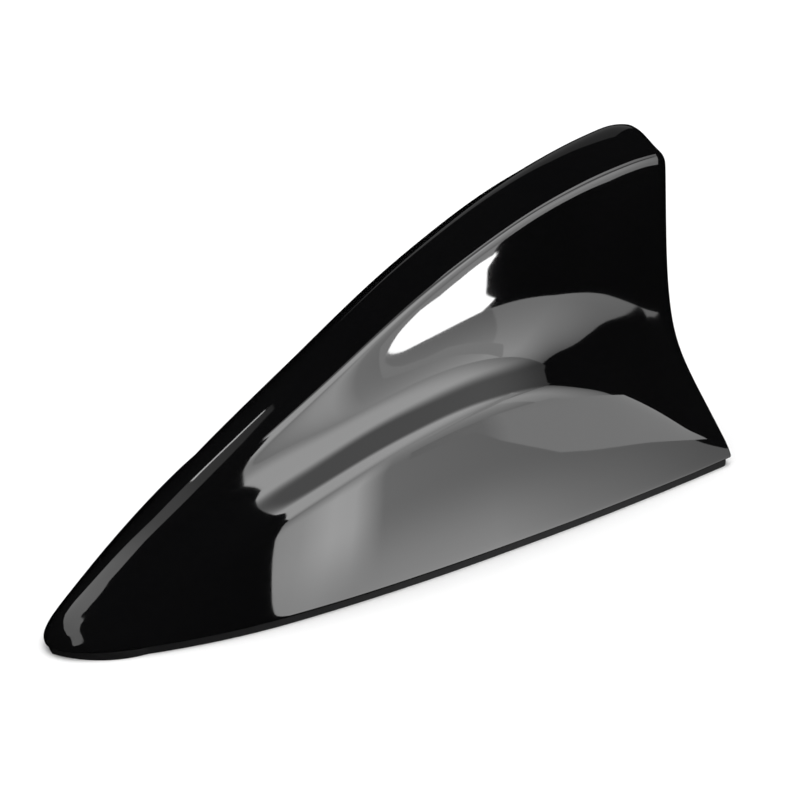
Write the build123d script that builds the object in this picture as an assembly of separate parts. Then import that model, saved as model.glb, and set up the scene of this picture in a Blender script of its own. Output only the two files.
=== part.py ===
from build123d import *
import math
import os

# Overall size of the fin, in millimetres
fin_length = 152.0
fin_height = 69.4
base_width = 49.6
hip_height = 28.9
blade_thickness = 15.0
crown_depth = 6.0
hip_round = 3.4
crown_turn = 1.0

# Tail: the rear face leans forward, the tip falls in a curve and the edges are rounded
tail_rake = 3.0
tip_length = 12.0
tip_fall = 7.2
tail_edge_round = 1.4
tail_corner_radius = 2.0

# Shell walls and the step that holds the base
side_wall = 2.4
roof_wall = 3.0
blade_wall = 1.9
tail_wall = 3.6
rim_wall = 3.4
rim_lip = 2.0
nose_solid = 9.0
nose_share = 0.03
fit_gap = 0.2

# Layers under the shell
gasket_height = 1.4
gasket_setback = 0.5
gasket_width = 3.4
pad_gap = 0.4
base_thickness = 2.0
seal_thickness = 0.6
upstand_height = 3.0
upstand_wall = 1.2

# Shell screws and their bosses
boss_diameter = 6.0
screw_diameter = 2.6
screw_clearance = 0.4
screw_head_diameter = 5.2
screw_head_depth = 1.3
screw_length = 9.5
pilot_spare = 1.5
pad_hole_gap = 1.0
front_boss_setback = 24.0
side_boss_inset = 8.9
boss_rib = 1.4
middle_boss_setback = 80.0
rear_boss_setback = 15.0

# Cable inlet
inlet_setback = 35.0
inlet_bore = 3.2
inlet_neck = 8.0
inlet_flange = 11.0
inlet_flange_depth = 1.2

# Flat amplifier board and its screws
board_start = 45.0
board_end_gap = 24.0
board_width = 22.0
board_thickness = 1.2
board_corner = 2.0
standoff_height = 4.0
standoff_diameter = 5.0
board_screw_diameter = 2.0
board_screw_head = 4.0
board_screw_head_depth = 1.5
board_screw_chamfer = 0.5
board_screw_length = 5.5
board_screw_inset = 3.2

# Upright radiator board
radiator_thickness = 1.0
radiator_start = 60.0
radiator_end_gap = 13.0
radiator_roof_gap = 2.4
tab_length = 8.0
tab_setback = 8.0
tab_reach = 1.6
slot_gap = 0.1
solder_reach = 0.9
trace_depth = 0.1
trace_width = 1.0
trace_pitch = 4.0
trace_foot = 6.0
trace_margin = 6.5
strip_metal = 0.35
strip_depth = 4.0
strip_length = 38.0
foam_length = 10.0
foam_width = 3.0
core_play = 0.5

# Small parts on the flat board
coil_diameter = 5.2
coil_height = 8.0
coil_turns = 6
coil_wire = 0.7
coil_flange = 0.8
coil_setback = 13.0
can_length = 24.0
can_width = 8.4
can_height = 3.4
can_metal = 0.3
chip_side = 5.0
chip_height = 0.9
capacitor_length = 2.0
capacitor_width = 1.25
capacitor_height = 0.9
capacitor_count = 6
capacitor_pitch = 3.4
choke_diameter = 6.0
choke_height = 4.2
choke_turns = 3

# Guide curves: first number is the root of the share of the length from the nose
spine_guide = [
    (0, 0), (0.13, 0.073), (0.25, 0.145), (0.45, 0.334), (0.63, 0.581),
    (0.77, 0.801), (0.89, 0.947), (0.95, 0.988), (1, 1),
]
plan_guide = [
    (0, 0), (0.13, 0.22), (0.29, 0.467), (0.48, 0.746), (0.63, 0.892),
    (0.77, 0.968), (0.88, 0.996), (0.95, 0.99), (1, 0.968),
]
crown_width_guide = [
    (0, 0), (0.13, 0.23), (0.25, 0.4), (0.45, 0.66), (0.6, 0.8), (0.75, 0.91), (0.88, 1), (1, 1.05),
]
crown_depth_guide = [
    (0, 0), (0.13, 0.083), (0.25, 0.167), (0.45, 0.325), (0.6, 0.467),
    (0.75, 0.605), (0.85, 0.667), (0.92, 0.8), (1, 0.967),
]
hip_width_guide = [(0, 0.74), (0.25, 0.74), (0.55, 0.78), (0.85, 0.78), (0.93, 0.81), (0.97, 0.86), (1, 0.93)]
hip_height_guide = [
    (0, 0), (0.13, 0.075), (0.25, 0.165), (0.36, 0.305), (0.45, 0.473), (0.57, 0.735),
    (0.7, 0.953), (0.77, 1), (0.83, 0.97), (0.9, 0.785), (0.94, 0.55), (0.97, 0.31), (1, 0.11),
]
flank_top_guide = [(0, -4), (0.3, -3), (0.45, 12), (0.55, 20), (0.78, 20), (1, 13)]
flank_foot_guide = [(0, -4), (0.36, -4), (0.45, 2), (0.55, 14), (0.7, 26), (0.9, 30), (1, 27)]
skirt_bow_guide = [(0, 7), (0.3, 7), (0.5, 5), (1, 4)]
hip_round_guide = [(0, 0.06), (0.13, 0.35), (0.25, 0.65), (0.4, 1), (0.9, 0.82), (1, 0.35)]

# Heights and ends that follow from the sizes above
nose_x = -fin_length / 2
tail_x = fin_length / 2
rim_z = gasket_height
base_top = rim_z + base_thickness
ledge_z = base_top + seal_thickness
board_z = base_top + standoff_height
board_top = board_z + board_thickness
stand = (Align.CENTER, Align.CENTER, Align.MIN)


def guide_value(guide, share):
    # Smooth curve through the guide's points that never overshoots between them
    spans = [(b[0] - a[0], (b[1] - a[1]) / (b[0] - a[0])) for a, b in zip(guide, guide[1:])]
    rates = [spans[0][1]]
    for before, after in zip(spans, spans[1:]):
        turning = before[1] * after[1] <= 0
        rates.append(0 if turning else 2 / (1 / before[1] + 1 / after[1]))
    rates.append(spans[-1][1])
    index = max(i for i in range(len(spans)) if i == 0 or guide[i][0] <= share)
    width = spans[index][0]
    t = (share - guide[index][0]) / width
    start = (1 + 2 * t) * (1 - t) ** 2 * guide[index][1] + t * (1 - t) ** 2 * width * rates[index]
    finish = t * t * (3 - 2 * t) * guide[index + 1][1] + t * t * (t - 1) * width * rates[index + 1]
    return start + finish


def station_x(share):
    return nose_x + fin_length * (share ** 2 - nose_share ** 2) / (1 - nose_share ** 2)


def share_at(x):
    return math.sqrt(nose_share ** 2 + (x - nose_x) / fin_length * (1 - nose_share ** 2))


def spine_height(share):
    return rim_z + (fin_height - rim_z) * guide_value(spine_guide, share)


def half_width(share):
    return base_width / 2 * guide_value(plan_guide, share)


def slope(degrees):
    return Vector(math.cos(math.radians(degrees)), -math.sin(math.radians(degrees)))


def inward(direction):
    return Vector(direction.Y, -direction.X)


def fall(start, end):
    return math.degrees(math.atan2(start.Y - end.Y, end.X - start.X))


def half_profile(x, walls, core):
    # Curves from the ridge to the rim as (y, z) points, moved inwards by the walls down to the core
    roof, blade, side, foot = walls
    share = share_at(x)
    crown_half = blade_thickness / 2 * guide_value(crown_width_guide, share)
    crease_z = spine_height(share) - crown_depth * guide_value(crown_depth_guide, share)
    crease = Vector(crown_half, crease_z)
    tip_share = max(0, 1 - (tail_x - x) / tip_length)
    ridge = Vector(0, spine_height(share) - tip_fall * (1 - math.sqrt(1 - tip_share ** 2)) - roof)
    rim = Vector(half_width(share), rim_z)
    hip_z = rim_z + (hip_height - rim_z) * guide_value(hip_height_guide, share)
    hip = Vector(rim.X * guide_value(hip_width_guide, share), hip_z)
    flank = fall(crease, hip)
    skirt = fall(hip, rim)
    bow = guide_value(skirt_bow_guide, share)
    flank_top = slope(flank + guide_value(flank_top_guide, share))
    flank_foot = slope(flank - guide_value(flank_foot_guide, share))
    skirt_top = slope(skirt - bow)
    skirt_foot = slope(min(89, skirt + bow))
    crown_foot = slope(fall(ridge, crease) + crown_turn)
    miter = inward(crown_foot) + inward(flank_top)
    crease = crease + miter * (blade / (1 + inward(crown_foot).dot(inward(flank_top))))
    crease = Vector(max(crease.X, core), min(crease.Y, ridge.Y - 0.4))
    miter = inward(flank_foot) + inward(skirt_top)
    hip = hip + miter * (side / (1 + inward(flank_foot).dot(inward(skirt_top))))
    rim = Vector(rim.X - foot, rim_z)
    blend = hip_round * guide_value(hip_round_guide, share)
    hip_start = hip - flank_foot * blend
    hip_end = hip + skirt_top * min(blend, 0.45 * (rim - hip).length)
    level = Vector(1, 0)
    ends = [
        (ridge, level, 0.4, crease, crown_foot, 0.4),
        (crease, flank_top, 0.5, hip_start, flank_foot, 0.4),
        (hip_start, flank_foot, 0.4, hip_end, skirt_top, 0.4),
        (hip_end, skirt_top, 0.36, rim, skirt_foot, 0.36),
    ]
    curves = []
    for start, leave, pull_out, end, arrive, pull_in in ends:
        chord = (end - start).length
        curves.append([start, start + leave * (chord * pull_out), end - arrive * (chord * pull_in), end])
    return curves


def leaned(x, point, side):
    # Place of a section's point; towards the tail the sections lean forward
    lean = tail_rake / (fin_height - rim_z) * share_at(x) ** 6
    return (x - lean * (point.Y - rim_z), side * point.X, point.Y)


def outer_section(x, inset):
    # Closed curved section of the fin, moved inwards by the inset
    curves = half_profile(x, (inset, inset, inset, inset), 0)
    rim = curves[-1][-1]
    edges = [Bezier(*[leaned(x, point, 1) for point in curve]) for curve in curves]
    edges.append(Line(leaned(x, rim, 1), leaned(x, rim, -1)))
    edges += [Bezier(*[leaned(x, point, -1) for point in reversed(curve)]) for curve in reversed(curves)]
    return Wire(edges)


def core_section(x):
    # Closed section of the cavity, with short straight runs along the inner side of the walls
    points = []
    for curve, runs in zip(half_profile(x, shell_walls, core_half), core_runs):
        a, b, c, d = curve
        for run in range(runs):
            t = run / runs
            inner = a * (1 - t) ** 3 + b * (3 * t * (1 - t) ** 2)
            points.append(inner + c * (3 * t * t * (1 - t)) + d * t ** 3)
    points.append(d)
    half = [leaned(x, point, 1) for point in points]
    other = [leaned(x, point, -1) for point in reversed(points[1:])]
    return Wire(Polyline(*half, *other, close=True).edges())


def plan_outline(inset):
    # Plan of the rim moved inwards, with rounded corners at the square tail
    outline = offset(rim_plan, -inset)
    return fillet(outline.vertices().group_by(Axis.X)[-1], tail_corner_radius)


def slab(sketch, bottom, top):
    return extrude(Pos(0, 0, bottom) * sketch, top - bottom)


def rod(x, y, bottom, top, diameter):
    return Pos(x, y, bottom) * Cylinder(diameter / 2, top - bottom, align=stand)


def block(x, y, bottom, length, width, height):
    return Pos(x, y, bottom) * Box(length, width, height, align=stand)


def join(shapes):
    whole = shapes[0]
    for shape in shapes[1:]:
        whole = whole + shape
    return whole


def save(shape, name):
    export_step(shape, os.path.join("parts", name + ".step"))


os.makedirs("parts", exist_ok=True)

# Where the sections stand along the fin, closer together where the form turns quickly
body_shares = [nose_share, 0.07, 0.13, 0.2, 0.28, 0.36, 0.44, 0.52, 0.59, 0.66, 0.72, 0.78, 0.83, 0.88, 0.92]
tip_parts = [1, 0.7, 0.45, 0.25]
outline_shares = [0.16, 0.3, 0.42, 0.54, 0.66, 0.78, 0.9]

# Plan of the rim: arcs from the nose to the tail on both sides
side = [(station_x(share), half_width(share)) for share in outline_shares]
side = [(nose_x, 0)] + side + [(tail_x, half_width(1))]
with BuildSketch() as plan:
    with BuildLine():
        for start, middle, end in zip(side[0::2], side[1::2], side[2::2]):
            ThreePointArc(start, middle, end)
            ThreePointArc((start[0], -start[1]), (middle[0], -middle[1]), (end[0], -end[1]))
        Line(side[-1], (side[-1][0], -side[-1][1]))
    make_face()
rim_plan = plan.sketch

# Outer form: stations from the nose to the tail, closed by a rounded rear edge
stations = [station_x(share) for share in body_shares] + [tail_x - tip_length * part for part in tip_parts]
outer_sections = [outer_section(x, 0) for x in stations + [tail_x - tail_edge_round]]
for turn in (30, 60, 90):
    x = tail_x - tail_edge_round * (1 - math.sin(math.radians(turn)))
    outer_sections.append(outer_section(x, tail_edge_round * (1 - math.cos(math.radians(turn)))))
outer_form = Solid.make_loft(outer_sections)

# Cavity: every second station with the walls taken off
shell_walls = (roof_wall, blade_wall, side_wall, rim_wall)
core_half = radiator_thickness / 2 + strip_metal + core_play
core_runs = (2, 3, 1, 1)
cavity_front = nose_x + nose_solid
cavity_rear = tail_x - tail_wall
cavity_stations = [x for x in stations[::2] if cavity_front + 3 < x < cavity_rear - 3]
cavity_stations = [cavity_front] + cavity_stations + [cavity_rear]
cavity_form = Solid.make_loft([core_section(x) for x in cavity_stations])

# Shell screw places: one behind the nose, a pair at the hips and a pair at the tail
middle_y = half_width(share_at(nose_x + middle_boss_setback)) - side_boss_inset
rear_y = half_width(share_at(tail_x - rear_boss_setback)) - side_boss_inset
screw_spots = [
    (nose_x + front_boss_setback, 0),
    (nose_x + middle_boss_setback, middle_y),
    (nose_x + middle_boss_setback, -middle_y),
    (tail_x - rear_boss_setback, rear_y),
    (tail_x - rear_boss_setback, -rear_y),
]
pilot_top = rim_z + screw_length + pilot_spare

# Outer shell: hollow form with a step for the base and screw bosses
outer_shell = outer_form - cavity_form - slab(plan_outline(rim_lip), rim_z - 1, ledge_z)
for x, y in screw_spots:
    boss = rod(x, y, base_top, fin_height, boss_diameter)
    if y != 0:
        reach = math.copysign(side_boss_inset, y)
        boss = boss + block(x, y + reach / 2, ledge_z, boss_rib, abs(reach), fin_height - ledge_z)
    outer_shell = outer_shell + (boss & outer_form)
for x, y in screw_spots:
    outer_shell = outer_shell - rod(x, y, base_top, pilot_top, screw_diameter)

# Gasket ring and adhesive pad under the shell
gasket_outline = plan_outline(gasket_setback)
gasket_opening = plan_outline(gasket_setback + gasket_width)
seal_gasket = slab(gasket_outline - gasket_opening, 0, rim_z)
inlet_x = nose_x + inlet_setback
adhesive_pad = slab(plan_outline(gasket_setback + gasket_width + pad_gap), 0, rim_z)
adhesive_pad = adhesive_pad - rod(inlet_x, 0, 0, rim_z, inlet_flange + 2 * pad_hole_gap)
for x, y in screw_spots:
    adhesive_pad = adhesive_pad - rod(x, y, 0, rim_z, screw_head_diameter + 2 * pad_hole_gap)

# Flat board places
board_front = nose_x + board_start
board_rear = tail_x - board_end_gap
board_middle = (board_front + board_rear) / 2
board_length = board_rear - board_front
board_screw_spots = []
for x in (board_front + board_screw_inset, board_rear - board_screw_inset):
    for side in (1, -1):
        board_screw_spots.append((x, side * (board_width / 2 - board_screw_inset)))

# Base plate with a locating upstand, standoffs and holes
base_outline = plan_outline(rim_lip + fit_gap)
base_plate = slab(base_outline, rim_z, base_top)
upstand_outline = plan_outline(rim_wall + fit_gap) - plan_outline(rim_wall + fit_gap + upstand_wall)
upstand = slab(upstand_outline, base_top, base_top + upstand_height)
upstand = upstand & cavity_form
for x, y in screw_spots:
    upstand = upstand - rod(x, y, base_top, base_top + upstand_height, boss_diameter + 2 * fit_gap)
    if y != 0:
        rib_slot = boss_rib + 2 * fit_gap
        upstand = upstand - block(x, y, base_top, rib_slot, 3 * side_boss_inset, upstand_height)
base_plate = base_plate + upstand
for x, y in board_screw_spots:
    base_plate = base_plate + rod(x, y, base_top, board_z, standoff_diameter)
for x, y in board_screw_spots:
    base_plate = base_plate - rod(x, y, board_top - board_screw_length, board_z, board_screw_diameter)
head_cone = Cone(screw_head_diameter / 2, screw_diameter / 2, screw_head_depth)
for x, y in screw_spots:
    base_plate = base_plate - rod(x, y, rim_z, base_top, screw_diameter + screw_clearance)
    base_plate = base_plate - Pos(x, y, rim_z + screw_head_depth / 2) * head_cone
base_plate = base_plate - rod(inlet_x, 0, rim_z, base_top, inlet_neck)

# Seal ring on the plate's edge, under the step in the shell
seal_outline = base_outline - plan_outline(rim_wall)
rim_seal = slab(seal_outline, base_top, ledge_z)
for x, y in screw_spots:
    rim_seal = rim_seal - rod(x, y, base_top, ledge_z, boss_diameter + 2 * fit_gap)

# Screws from below into the shell's bosses
shell_screws = []
for x, y in screw_spots:
    screw = rod(x, y, rim_z, rim_z + screw_length, screw_diameter)
    shell_screws.append(screw + Pos(x, y, rim_z + screw_head_depth / 2) * head_cone)

# Cable inlet: a rubber bush with a flange on each side of the plate
with BuildSketch(Plane.XZ) as bush:
    with BuildLine():
        Polyline(
            (inlet_bore / 2, rim_z - inlet_flange_depth),
            (inlet_flange / 2, rim_z - inlet_flange_depth),
            (inlet_flange / 2, rim_z),
            (inlet_neck / 2, rim_z),
            (inlet_neck / 2, base_top),
            (inlet_flange / 2 - 0.4, base_top),
            (inlet_flange / 2 - 1.2, base_top + inlet_flange_depth),
            (inlet_bore / 2, base_top + inlet_flange_depth),
            close=True,
        )
    make_face()
cable_grommet = Pos(inlet_x, 0, 0) * revolve(bush.sketch, Axis.Z)

# Flat amplifier board with slots for the tabs of the upright board
radiator_front = nose_x + radiator_start
radiator_rear = tail_x - radiator_end_gap
tab_spots = [radiator_front + tab_setback, board_rear - tab_setback - tab_length]
amplifier_board = slab(RectangleRounded(board_length, board_width, board_corner), board_z, board_top)
amplifier_board = Pos(board_middle, 0, 0) * amplifier_board
for x, y in board_screw_spots:
    amplifier_board = amplifier_board - rod(x, y, board_z, board_top, board_screw_diameter)
slot_length = tab_length + 2 * slot_gap
slot_width = radiator_thickness + 2 * slot_gap
for x in tab_spots:
    amplifier_board = amplifier_board - block(x, 0, board_z, slot_length, slot_width, board_thickness)

# Pan head screws of that board
board_screws = []
for x, y in board_screw_spots:
    screw = rod(x, y, board_top, board_top + board_screw_head_depth, board_screw_head)
    screw = chamfer(screw.edges().group_by(Axis.Z)[-1], board_screw_chamfer)
    board_screws.append(screw + rod(x, y, board_top - board_screw_length, board_top, board_screw_diameter))


def radiator_top(x):
    return spine_height(share_at(x)) - roof_wall - radiator_roof_gap


def radiator_band(front, rear, drop, rise):
    # Strip of the upright board's side view that follows its top edge
    ends = [front + (rear - front) * step / 4 for step in range(5)]
    upper = [(x, radiator_top(x) + rise) for x in ends]
    lower = [(x, radiator_top(x) - drop) for x in ends]
    with BuildSketch(Plane.XZ) as band:
        with BuildLine():
            Spline(*upper)
            Line(upper[-1], lower[-1])
            Spline(*reversed(lower))
            Line(lower[0], upper[0])
        make_face()
    return band.sketch


# Upright radiator board: top edge follows the ridge, two tabs go through the flat board
radiator_stations = [radiator_front + (radiator_rear - radiator_front) * step / 5 for step in range(6)]
radiator_edge = [(x, radiator_top(x)) for x in radiator_stations]
with BuildSketch(Plane.XZ) as upright:
    with BuildLine():
        Spline(*radiator_edge)
        Polyline(
            radiator_edge[-1],
            (radiator_rear, board_top + trace_foot),
            (board_rear, board_top),
            (radiator_front, board_top),
            radiator_edge[0],
        )
    make_face()
radiator_board = extrude(upright.sketch, radiator_thickness / 2, both=True)
tab_bottom = board_z - tab_reach
for x in tab_spots:
    tab = block(x, 0, tab_bottom, tab_length, radiator_thickness, board_top - tab_bottom)
    radiator_board = radiator_board + tab

# Copper meander on the near face of the upright board
trace_front = radiator_front + trace_margin
trace_count = int((board_rear - trace_front) / trace_pitch)
trace_low = board_top + trace_foot
with BuildSketch(Plane.XZ) as meander:
    for step in range(trace_count):
        x = trace_front + step * trace_pitch
        high = min(radiator_top(x), radiator_top(x + trace_pitch)) - trace_margin
        with Locations((x, (trace_low + high) / 2)):
            Rectangle(trace_width, high - trace_low + trace_width)
        turn = high if step % 2 == 0 else trace_low
        if step < trace_count - 1:
            with Locations((x + trace_pitch / 2, turn)):
                Rectangle(trace_pitch + trace_width, trace_width)
radiator_trace = Pos(0, -radiator_thickness / 2, 0) * extrude(meander.sketch, trace_depth)

# Folded metal strip on the top edge and the foam block above it
strip_rear = radiator_rear - 2
strip_front = strip_rear - strip_length
strip_half = radiator_thickness / 2 + strip_metal
strip_band = radiator_band(strip_front, strip_rear, strip_depth, strip_metal)
top_load_strip = extrude(strip_band, strip_half, both=True) - radiator_board
foam_middle = strip_front + strip_length / 2
foam_front = foam_middle - foam_length / 2
foam_band = radiator_band(foam_front, foam_front + foam_length, 0, radiator_roof_gap + 2)
anti_rattle_pad = extrude(foam_band, foam_width / 2, both=True) & cavity_form
anti_rattle_pad = anti_rattle_pad - top_load_strip - radiator_board

# Matching coil: bobbin with a ridged winding of one layer
coil_x = board_front + coil_setback
coil_y = -(board_width / 2 - board_screw_inset - 2.2)
coil_bottom = board_top + coil_flange
coil_top = board_top + coil_height
coil_core = coil_diameter - 2 * coil_wire
coil_former = rod(coil_x, coil_y, board_top, coil_top, coil_core)
coil_former = coil_former + rod(coil_x, coil_y, board_top, coil_bottom, coil_diameter + 1)
coil_former = coil_former + rod(coil_x, coil_y, coil_top - coil_flange, coil_top, coil_diameter + 1)


def winding(turns, core, wire, bottom, height):
    # Side by side turns of wire as one turned solid, each turn a low ridge
    pitch = height / turns
    ridges = [(core / 2, bottom)]
    for turn in range(turns):
        ridges.append((core / 2 + wire / 2, bottom + pitch * turn))
        ridges.append((core / 2 + wire, bottom + pitch * (turn + 0.5)))
    ridges += [(core / 2 + wire / 2, bottom + height), (core / 2, bottom + height)]
    with BuildSketch(Plane.XZ) as section:
        with BuildLine():
            Polyline(*ridges, close=True)
        make_face()
    return revolve(section.sketch, Axis.Z)


coil_space = coil_height - 2 * coil_flange
matching_coil = winding(coil_turns, coil_core, coil_wire, coil_bottom, coil_space)
matching_coil = Pos(coil_x, coil_y, 0) * matching_coil

# Shield can over the amplifier chip
can_x = board_middle
can_y = radiator_thickness / 2 + 1.6 + can_width / 2
shield_can = block(can_x, can_y, board_top, can_length, can_width, can_height)
shield_can = fillet(shield_can.edges().filter_by(Axis.Z), 0.8)
can_inside = (can_length - 2 * can_metal, can_width - 2 * can_metal, can_height - can_metal)
shield_can = shield_can - block(can_x, can_y, board_top, *can_inside)
amplifier_chip = block(can_x, can_y, board_top, chip_side, chip_side, chip_height)
amplifier_chip = chamfer(amplifier_chip.edges().group_by(Axis.Z)[-1], 0.15)

# Row of chip capacitors on the other side of the upright board
chip_capacitors = []
for step in range(capacitor_count):
    x = board_middle + (step - (capacitor_count - 1) / 2) * capacitor_pitch
    chip_capacitors.append(block(x, -3.2, board_top, capacitor_length, capacitor_width, capacitor_height))

# Feed choke: ferrite drum with its winding
choke_x = board_middle + 6
choke_y = -(board_width / 2 - choke_diameter / 2 - 1)
choke_end = choke_height / 5
choke_top = board_top + choke_height
choke_neck = choke_diameter * 0.5
choke_core = rod(choke_x, choke_y, board_top, choke_top, choke_neck)
choke_core = choke_core + rod(choke_x, choke_y, board_top, board_top + choke_end, choke_diameter)
choke_core = choke_core + rod(choke_x, choke_y, choke_top - choke_end, choke_top, choke_diameter)
choke_space = choke_height - 2 * choke_end
choke_winding = winding(choke_turns, choke_neck, coil_wire, board_top + choke_end, choke_space)
choke_winding = Pos(choke_x, choke_y, 0) * choke_winding

# Solder fillets round the tabs, under the flat board
tab_solder = []
for x in tab_spots:
    for side in (1, -1):
        with BuildSketch(Plane.YZ) as fillet_section:
            with BuildLine():
                Polyline(
                    (side * radiator_thickness / 2, board_z),
                    (side * (radiator_thickness / 2 + solder_reach), board_z),
                    (side * radiator_thickness / 2, board_z - solder_reach),
                    close=True,
                )
            make_face()
        tab_solder.append(Pos(x, 0, 0) * extrude(fillet_section.sketch, tab_length * 0.4, both=True))

save(outer_shell, "outer_shell")
save(seal_gasket, "seal_gasket")
save(adhesive_pad, "adhesive_pad")
save(base_plate, "base_plate")
save(rim_seal, "rim_seal")
save(Compound(children=shell_screws), "shell_screws")
save(cable_grommet, "cable_grommet")
save(amplifier_board, "amplifier_board")
save(Compound(children=board_screws), "board_screws")
save(radiator_board, "radiator_board")
save(radiator_trace, "radiator_trace")
save(top_load_strip, "top_load_strip")
save(anti_rattle_pad, "anti_rattle_pad")
save(coil_former, "coil_former")
save(matching_coil, "matching_coil")
save(shield_can, "shield_can")
save(amplifier_chip, "amplifier_chip")
save(Compound(children=chip_capacitors), "chip_capacitors")
save(choke_core, "choke_core")
save(choke_winding, "choke_winding")
save(Compound(children=tab_solder), "tab_solder")
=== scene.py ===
import math

import bmesh
import bpy
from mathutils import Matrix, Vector


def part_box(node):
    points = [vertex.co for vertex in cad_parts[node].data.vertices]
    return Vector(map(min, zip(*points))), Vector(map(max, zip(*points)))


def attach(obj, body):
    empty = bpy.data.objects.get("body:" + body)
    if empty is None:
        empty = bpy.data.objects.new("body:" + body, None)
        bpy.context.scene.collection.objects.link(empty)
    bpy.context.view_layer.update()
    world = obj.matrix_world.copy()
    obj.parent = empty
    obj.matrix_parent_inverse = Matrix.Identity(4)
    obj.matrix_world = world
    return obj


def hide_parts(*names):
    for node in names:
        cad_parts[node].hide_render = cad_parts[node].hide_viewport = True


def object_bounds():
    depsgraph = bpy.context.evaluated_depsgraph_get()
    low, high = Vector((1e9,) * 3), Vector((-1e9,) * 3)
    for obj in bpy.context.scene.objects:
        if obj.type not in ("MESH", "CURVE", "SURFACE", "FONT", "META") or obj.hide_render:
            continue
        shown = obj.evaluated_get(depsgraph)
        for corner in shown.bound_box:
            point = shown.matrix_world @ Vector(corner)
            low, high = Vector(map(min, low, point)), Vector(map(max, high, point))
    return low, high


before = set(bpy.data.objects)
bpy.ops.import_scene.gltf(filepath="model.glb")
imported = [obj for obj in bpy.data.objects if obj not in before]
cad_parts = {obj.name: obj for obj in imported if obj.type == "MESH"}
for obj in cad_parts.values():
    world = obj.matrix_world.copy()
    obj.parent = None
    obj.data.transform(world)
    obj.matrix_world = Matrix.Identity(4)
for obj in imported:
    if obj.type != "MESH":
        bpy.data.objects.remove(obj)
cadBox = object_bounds()
print("frame loaded:", len(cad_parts), "nodes")

mm = 0.001

# Fin shell in metres; guides list (share, value), where share is the root of the part of the length from the nose
shellLow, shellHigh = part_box("outer_shell")
finShell = {
    "noseX": shellLow[0] + 0.08 * mm,
    "tailX": shellHigh[0],
    "rimZ": shellLow[2],
    "height": 69.4 * mm,
    "width": 49.6 * mm,
    "hipHeight": 28.9 * mm,
    "bladeThickness": 15 * mm,
    "crownDepth": 6 * mm,
    "creaseRound": 1.3 * mm,
    "hipRound": 3.4 * mm,
    "tailRake": 3 * mm,
    "rakeOnset": 6,  # larger keeps the lean closer to the tail
    "tipLength": 12 * mm,
    "tipFall": 7.2 * mm,
    "tailEdge": (0.7 * mm, 5 * mm),  # rounding of the rear edge at the foot and on the blade
    "tailEdgeRise": (10 * mm, 28 * mm),
    "rimRound": 0.6 * mm,
    "rimLip": 2 * mm,
    "lipStep": 0.3,
    "wall": 1.8 * mm,
    "thinnestWall": 0.03,  # share of the wall at the nose
    "noseSolid": 9 * mm,
    "noseShare": 0.03,
    "steepest": 89,
    "ridgeRoom": 0.4 * mm,  # least fall from ridge to crease
    "creaseRoom": 0.4,  # largest share that a rounding takes of the run beside it
    "hipRoom": 0.45,
    "edgeRoom": 0.2,  # for rim edge and lip it is a share of the half width
    "lipRoom": 0.6,
    "spine": [(0, 0), (0.13, 0.073), (0.25, 0.145), (0.4, 0.281), (0.51, 0.417), (0.63, 0.581),
              (0.77, 0.801), (0.89, 0.947), (0.95, 0.988), (1, 1)],
    "plan": [(0, 0), (0.13, 0.22), (0.29, 0.467), (0.48, 0.746), (0.63, 0.892),
             (0.77, 0.968), (0.88, 0.996), (0.95, 0.99), (1, 0.968)],
    "crownWidth": [(0, 0), (0.13, 0.23), (0.25, 0.4), (0.45, 0.66), (0.6, 0.8), (0.75, 0.91),
                   (0.88, 1), (1, 1.05)],
    "crownFall": [(0, 0), (0.13, 0.083), (0.25, 0.167), (0.45, 0.325), (0.6, 0.467), (0.75, 0.605),
                  (0.85, 0.667), (0.92, 0.8), (1, 0.967)],
    "crownFoot": [(0, 9), (0.42, 9), (0.62, 2), (1, 1)],  # degrees, as the next three
    "flankTop": [(0, -4), (0.3, -3), (0.45, 12), (0.55, 20), (0.78, 20), (1, 13)],
    "flankFoot": [(0, -4), (0.36, -4), (0.45, 2), (0.55, 14), (0.7, 26), (0.9, 30), (1, 27)],
    "skirtBow": [(0, 7), (0.3, 7), (0.5, 5), (1, 4)],
    "hipWidth": [(0, 0.74), (0.25, 0.74), (0.55, 0.78), (0.85, 0.78), (0.93, 0.81), (0.97, 0.86),
                 (1, 0.93)],
    "hipRise": [(0, 0), (0.13, 0.075), (0.25, 0.165), (0.36, 0.305), (0.45, 0.473), (0.57, 0.735),
                (0.7, 0.953), (0.77, 1), (0.83, 0.97), (0.9, 0.785), (0.94, 0.55), (0.97, 0.31), (1, 0.11)],
    "hipSoft": [(0, 0.06), (0.13, 0.35), (0.25, 0.6), (0.4, 0.75), (0.52, 0.6), (0.66, 0.9),
                (0.9, 0.82), (1, 0.35)],
    "creaseSoft": [(0, 0.06), (0.13, 0.35), (0.25, 0.65), (0.4, 1), (0.97, 1), (1, 1.4)],
    "bodyStations": 34,
    "tipStations": 6,
    "tailTurns": (20, 40, 60, 75, 90),
    # crown, crease, flank, hip, skirt and rim edge: faces along each, and how far each curve keeps its end slopes
    "runs": (5, 4, 9, 5, 5, 3),
    "pulls": ((0.3, 0.4), (0.4, 0.4), (0.5, 0.4), (0.4, 0.4), (0.36, 0.36), (0.4, 0.4)),
    "mergeGap": 0.001 * mm,
    "doubleGap": 0.002 * mm,
    "subdivision": 2,
}


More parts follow.
